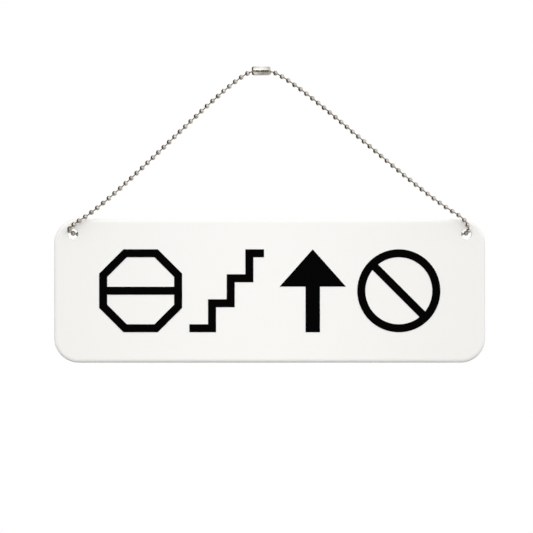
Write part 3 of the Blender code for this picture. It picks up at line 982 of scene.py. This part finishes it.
def studio_world(look):
    """White studio with dark cards at both sides, a dim floor and an unlit corner on the left.

    Direct sight of it is plain white. The cards and the floor draw the grey line
    round the white plate, and polished metal mirrors the unlit corner as a dark
    crescent and the camera's side of the room as a dark spot.
    """
    world = bpy.data.worlds.new("white_studio")
    world.use_nodes = True
    tree = world.node_tree
    tree.nodes.clear()
    way = add(tree, "ShaderNodeTexCoord").outputs["Generated"]
    parts = add(tree, "ShaderNodeSeparateXYZ", {0: way}).outputs
    height = add(tree, "ShaderNodeMapRange", {"Value": parts["Z"], "From Min": -1, "From Max": 1})
    soft = add(tree, "ShaderNodeValToRGB", {"Fac": height.outputs["Result"]})
    fill_ramp(soft, SOFT_LIGHT)
    aside = add(tree, "ShaderNodeMath", {0: parts["X"]}, operation="ABSOLUTE")
    carded = add(
        tree,
        "ShaderNodeMapRange",
        {
            "Value": aside.outputs[0],
            "From Min": CARDS_FROM,
            "From Max": 1,
            "To Min": 1,
            "To Max": CARD_LIGHT,
        },
        interpolation_type="SMOOTHSTEP",
    )
    thrown = add(
        tree,
        "ShaderNodeVectorMath",
        {0: soft.outputs["Color"], "Scale": carded.outputs["Result"]},
        operation="SCALE",
    )
    mirrored = add(tree, "ShaderNodeValToRGB", {"Fac": height.outputs["Result"]})
    fill_ramp(mirrored, MIRRORED_LIGHT)
    corner = add(tree, "ShaderNodeVectorMath", {0: way, 1: UNLIT_CORNER}, operation="DOT_PRODUCT")
    lit = add(
        tree,
        "ShaderNodeMapRange",
        {
            "Value": corner.outputs["Value"],
            "From Min": UNLIT_FROM,
            "From Max": UNLIT_TO,
            "To Min": 1,
            "To Max": 0,
        },
        interpolation_type="SMOOTHSTEP",
    )
    with_corner = add(
        tree,
        "ShaderNodeMix",
        {"Factor": lit.outputs["Result"], "A": (*look.warm_dark, 1), "B": mirrored.outputs["Color"]},
        data_type="RGBA",
    )
    lens = add(tree, "ShaderNodeVectorMath", {0: way, 1: LENS_WAY}, operation="DISTANCE")
    clear = add(
        tree,
        "ShaderNodeMapRange",
        {
            "Value": lens.outputs["Value"],
            "From Min": LENS_CORE_SHARE * LENS_REACH,
            "From Max": LENS_REACH,
        },
        interpolation_type="SMOOTHSTEP",
    )
    metal_sees = add(
        tree,
        "ShaderNodeMix",
        {
            "Factor": clear.outputs["Result"],
            "A": (*look.warm_dark, 1),
            "B": with_corner.outputs["Result"],
        },
        data_type="RGBA",
    )
    path = add(tree, "ShaderNodeLightPath").outputs
    unseen = add(
        tree,
        "ShaderNodeMix",
        {
            "Factor": path["Is Glossy Ray"],
            "A": thrown.outputs["Vector"],
            "B": metal_sees.outputs["Result"],
        },
        data_type="RGBA",
    )
    seen = add(
        tree,
        "ShaderNodeMix",
        {"Factor": path["Is Camera Ray"], "A": unseen.outputs["Result"], "B": (1, 1, 1, 1)},
        data_type="RGBA",
    )
    light = add(tree, "ShaderNodeBackground", {"Color": seen.outputs["Result"]})
    add(tree, "ShaderNodeOutputWorld", {"Surface": light.outputs[0]})
    return world


def fill_ramp(ramp, stops):
    """Sets the grey levels of a colour ramp."""
    elements = ramp.color_ramp.elements
    while len(elements) > 1:
        elements.remove(elements[-1])
    for order, (place, level) in enumerate(stops):
        stop = elements[0] if order == 0 else elements.new(place)
        stop.position = place
        stop.color = (level, level, level, 1)


def softbox(name, place, aim, width, height, watts, tint):
    """A rectangular lamp that faces a point."""
    lamp = bpy.data.lights.new(name, "AREA")
    lamp.shape = "RECTANGLE"
    lamp.size, lamp.size_y = width, height
    lamp.energy = watts
    lamp.color = linear(tint)
    holder = bpy.data.objects.new(name, lamp)
    bpy.context.scene.collection.objects.link(holder)
    holder.location = place
    holder.rotation_euler = (Vector(aim) - Vector(place)).to_track_quat("-Z", "Y").to_euler()


class NOTICEPLATE_OT_studio(bpy.types.Operator):
    """Sets up the camera, the lights, the white studio and the pale floor"""

    bl_idname = "notice_plate.set_up_studio"
    bl_label = "Studio"

    def execute(self, context):
        look = settings_of(context).studio
        scene = context.scene
        scene.view_settings.view_transform = "Standard"
        scene.world = studio_world(look)
        eye = bpy.data.cameras.new("camera")
        eye.lens = look.lens_mm
        camera = bpy.data.objects.new("camera", eye)
        scene.collection.objects.link(camera)
        distance = look.framed_width * eye.lens / eye.sensor_width
        camera.location = (look.aim_side, PLATE_LOW.y - distance, -look.aim_drop)
        camera.rotation_euler = (math.pi / 2, 0, 0)
        scene.camera = camera
        for name, place, width, height, watts, tint in LAMPS:
            softbox(name, place, PLATE_CENTRE, width, height, watts, tint)
        bm = bmesh.new()
        bmesh.ops.create_circle(bm, cap_ends=True, segments=FLOOR_SIDES, radius=look.floor_radius)
        bmesh.ops.translate(bm, verts=bm.verts, vec=(0, 0, -look.floor_drop))
        mesh = bpy.data.meshes.new("floor")
        bm.to_mesh(mesh)
        bm.free()
        mesh.materials.append(paper_floor(look))
        floor = bpy.data.objects.new("floor", mesh)
        scene.collection.objects.link(floor)
        floor.visible_diffuse = False
        floor.visible_glossy = False
        return {"FINISHED"}


MAKING_ORDER = (
    NOTICEPLATE_OT_plate,
    NOTICEPLATE_OT_figures,
    NOTICEPLATE_OT_coupling,
    NOTICEPLATE_OT_chain,
    NOTICEPLATE_OT_studio,
)


class NOTICEPLATE_PT_panel(bpy.types.Panel):
    """Lists the sizes, the colours and the steps"""

    bl_idname = "NOTICEPLATE_PT_panel"
    bl_label = "Notice Plate"
    bl_space_type = "VIEW_3D"
    bl_region_type = "UI"
    bl_category = "Notice Plate"

    def draw(self, context):
        settings = settings_of(context)
        for name, group in GROUPS.items():
            box = self.layout.box()
            box.label(text=group.__doc__.strip("."))
            for key in group.__annotations__:
                box.prop(getattr(settings, name), key)
        for step in MAKING_ORDER:
            self.layout.operator(step.bl_idname)


CLASSES = (*GROUPS.values(), NoticePlateSettings, *MAKING_ORDER, NOTICEPLATE_PT_panel)


def register():
    for item in CLASSES:
        bpy.utils.register_class(item)
    bpy.types.Scene.notice_plate = PointerProperty(type=NoticePlateSettings)


def unregister():
    del bpy.types.Scene.notice_plate
    for item in reversed(CLASSES):
        bpy.utils.unregister_class(item)


def main():
    """Makes every piece in order."""
    register()
    bpy.ops.notice_plate.make_plate()
    bpy.ops.notice_plate.ink_figures()
    bpy.ops.notice_plate.make_coupling()
    bpy.ops.notice_plate.string_chain()
    bpy.ops.notice_plate.set_up_studio()


if __name__ == "__main__":
    main()
